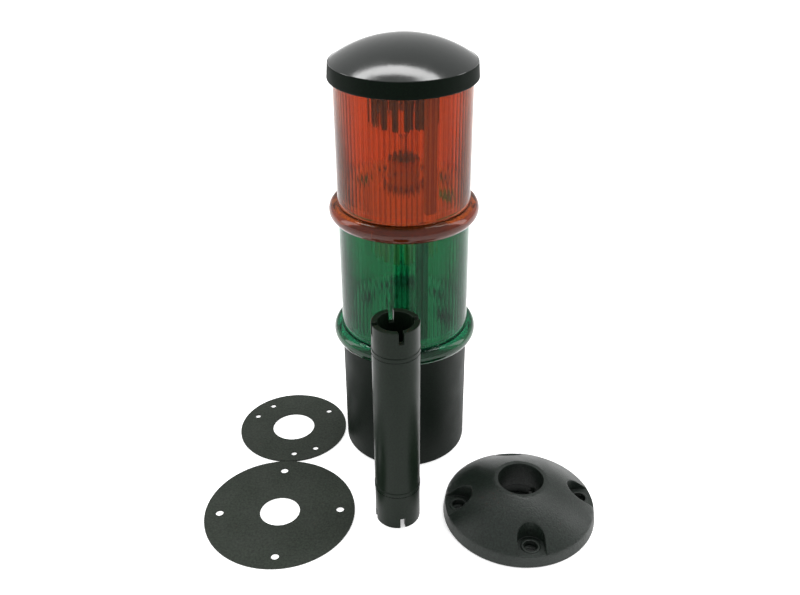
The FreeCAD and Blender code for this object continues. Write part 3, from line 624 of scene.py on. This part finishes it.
class STACKLIGHT_OT_lamps(bpy.types.Operator):
    """Finish the lamps, their holders and the terminal screws, which have the same plating"""
    bl_idname = "stacklight.lamps"
    bl_label = "Lamps"

    def execute(self, context):
        # Brass, drawn to a cup and nickel-plated: a warm silver with soft level reflections.
        nickel = plain_metal("nickel_plated_brass", linear("#C9C7C0"), roughness=0.25, line_mm=0.2)
        # Tungsten, drawn to wire: dark grey, with hardly a highlight.
        wire = plain_metal("drawn_tungsten", linear("#7A7A7E"), roughness=0.35, line_mm=0.1)
        glass = blown_glass("blown_lamp_glass")
        for colour in COLOURS:
            dress(colour + "_lamp_holder", nickel)
            dress(colour + "_bulb_cap", nickel)
            dress(colour + "_bulb_glass", glass)
            dress(colour + "_filament", wire)
        dress("terminal_screws", nickel)
        return {"FINISHED"}


class STACKLIGHT_OT_wiring(bpy.types.Operator):
    """Finish the wiring ducts, the contacts and the terminal block"""
    bl_idname = "stacklight.wiring"
    bl_label = "Wiring"

    def execute(self, context):
        # Polyamide moulding: pale grey and half dull. Its fine grain is drawn 0.3 mm wide.
        grey = moulded_plastic("moulded_grey_polyamide", linear("#D2D5D3"), roughness=0.45,
                               grain_mm=0.3, grain_depth=0.1, mottle=0.1)
        # Brass strip, rolled and stamped: yellow, with the fine lines of the rolls.
        brass = plain_metal("stamped_brass", linear("#C9A65A"), roughness=0.3, line_mm=0.2)
        for colour in COLOURS:
            dress(colour + "_wiring_duct", grey)
            dress(colour + "_contact_blades", brass)
            dress(colour + "_contact_tracks", brass)
        dress("base_contact_blades", brass)
        dress("terminal_block", grey)
        return {"FINISHED"}


class STACKLIGHT_OT_seals(bpy.types.Operator):
    """Finish the seals"""
    bl_idname = "stacklight.seals"
    bl_label = "Seals"

    def execute(self, context):
        # Rubber ring, moulded: near black and dull. Its fine grain is drawn 0.3 mm wide.
        rubber = moulded_plastic("moulded_seal_rubber", linear("#161717"), roughness=0.8,
                                 grain_mm=0.3, grain_depth=0.2, mottle=0.1)
        for colour in COLOURS:
            dress(colour + "_seal", rubber)
        dress("cap_seal", rubber)
        return {"FINISHED"}


# ---- stage ----------------------------------------------------------------------------------
def area_light(name, place, size, power):
    """A rectangular light that looks at the tower."""
    data = bpy.data.lights.new(name, "AREA")
    data.shape = "RECTANGLE"
    data.size = size[0]
    data.size_y = size[1]
    data.energy = power
    lamp = bpy.data.objects.new(name, data)
    lamp.location = place
    lamp.rotation_euler = (Vector(LIGHT_AIM) - Vector(place)).to_track_quat("-Z", "Y").to_euler()
    bpy.context.scene.collection.objects.link(lamp)


class STACKLIGHT_OT_stage(bpy.types.Operator):
    """Set the floor, the lights and the camera"""
    bl_idname = "stacklight.stage"
    bl_label = "Stage"

    def execute(self, context):
        scene = context.scene
        stage = scene.stack_light_stage
        self.make_floor(stage)
        self.make_lights(scene, stage)
        self.make_camera(scene, stage)
        scene.view_settings.view_transform = "Standard"
        return {"FINISHED"}

    def make_floor(self, stage):
        """One wide sheet of paper."""
        material = paper_sweep("white_paper_sweep")
        bm = bmesh.new()
        bmesh.ops.create_grid(bm, x_segments=1, y_segments=1, size=stage.floor_size / 2)
        bmesh.ops.translate(bm, verts=bm.verts, vec=(0, 0, -FLOOR_DROP))
        mesh = bpy.data.meshes.new("floor")
        bm.to_mesh(mesh)
        bm.free()
        mesh.materials.append(material)
        floor = bpy.data.objects.new("floor", mesh)
        bpy.context.scene.collection.objects.link(floor)

    def make_lights(self, scene, stage):
        """A white room, a long light above and behind, and one upright light on each side."""
        world = bpy.data.worlds.new("room")
        world.use_nodes = True
        room = world.node_tree.nodes["Background"]
        room.inputs["Color"].default_value = linear("#FFFFFF")
        room.inputs["Strength"].default_value = stage.sky
        scene.world = world
        away, back, height = SIDE_PLACE
        area_light("overhead", OVERHEAD_PLACE, OVERHEAD_SIZE, stage.key_power)
        area_light("left", (-away, back, height), SIDE_SIZE, stage.side_power)
        area_light("right", (away, back, height), SIDE_SIZE, stage.side_power)

    def make_camera(self, scene, stage):
        """A camera in front of the tower that looks down on it."""
        data = bpy.data.cameras.new("camera")
        data.lens = stage.camera_lens
        data.sensor_width = SENSOR_WIDTH
        data.clip_start = CLIP_START
        camera = bpy.data.objects.new("camera", data)
        turn = Matrix.Rotation(stage.camera_pan, 4, "Z")
        turn @= Matrix.Rotation(math.radians(90) - stage.camera_tilt, 4, "X")
        turn @= Matrix.Rotation(stage.camera_roll, 4, "Z")
        place = (0, -stage.camera_back, stage.camera_height)
        camera.matrix_world = Matrix.Translation(place) @ turn
        scene.collection.objects.link(camera)
        scene.camera = camera


# ---- add-on ---------------------------------------------------------------------------------
class STACKLIGHT_PT_panel(bpy.types.Panel):
    """Lists the steps in order, and the sizes and colours"""
    bl_idname = "STACKLIGHT_PT_panel"
    bl_label = "Stack light"
    bl_space_type = "VIEW_3D"
    bl_region_type = "UI"
    bl_category = "Stack light"

    def draw(self, context):
        for step in STEPS:
            self.layout.operator(step.bl_idname)
        for group in (context.scene.stack_light_tower, context.scene.stack_light_stage):
            for name in group.__annotations__:
                self.layout.prop(group, name)


GROUPS = (StackLightTower, StackLightStage)
STEPS = (STACKLIGHT_OT_stage, STACKLIGHT_OT_lenses, STACKLIGHT_OT_base, STACKLIGHT_OT_cap,
         STACKLIGHT_OT_pole, STACKLIGHT_OT_foot, STACKLIGHT_OT_gaskets, STACKLIGHT_OT_carriers,
         STACKLIGHT_OT_lamps, STACKLIGHT_OT_wiring, STACKLIGHT_OT_seals)


def register():
    for made in GROUPS + STEPS + (STACKLIGHT_PT_panel,):
        bpy.utils.register_class(made)
    bpy.types.Scene.stack_light_tower = PointerProperty(type=StackLightTower)
    bpy.types.Scene.stack_light_stage = PointerProperty(type=StackLightStage)


def unregister():
    del bpy.types.Scene.stack_light_stage
    del bpy.types.Scene.stack_light_tower
    for made in reversed(GROUPS + STEPS + (STACKLIGHT_PT_panel,)):
        bpy.utils.unregister_class(made)


def main():
    register()
    bpy.ops.stacklight.stage()
    bpy.ops.stacklight.lenses()
    bpy.ops.stacklight.base()
    bpy.ops.stacklight.cap()
    bpy.ops.stacklight.pole()
    bpy.ops.stacklight.foot()
    bpy.ops.stacklight.gaskets()
    bpy.ops.stacklight.carriers()
    bpy.ops.stacklight.lamps()
    bpy.ops.stacklight.wiring()
    bpy.ops.stacklight.seals()


if __name__ == "__main__":
    main()
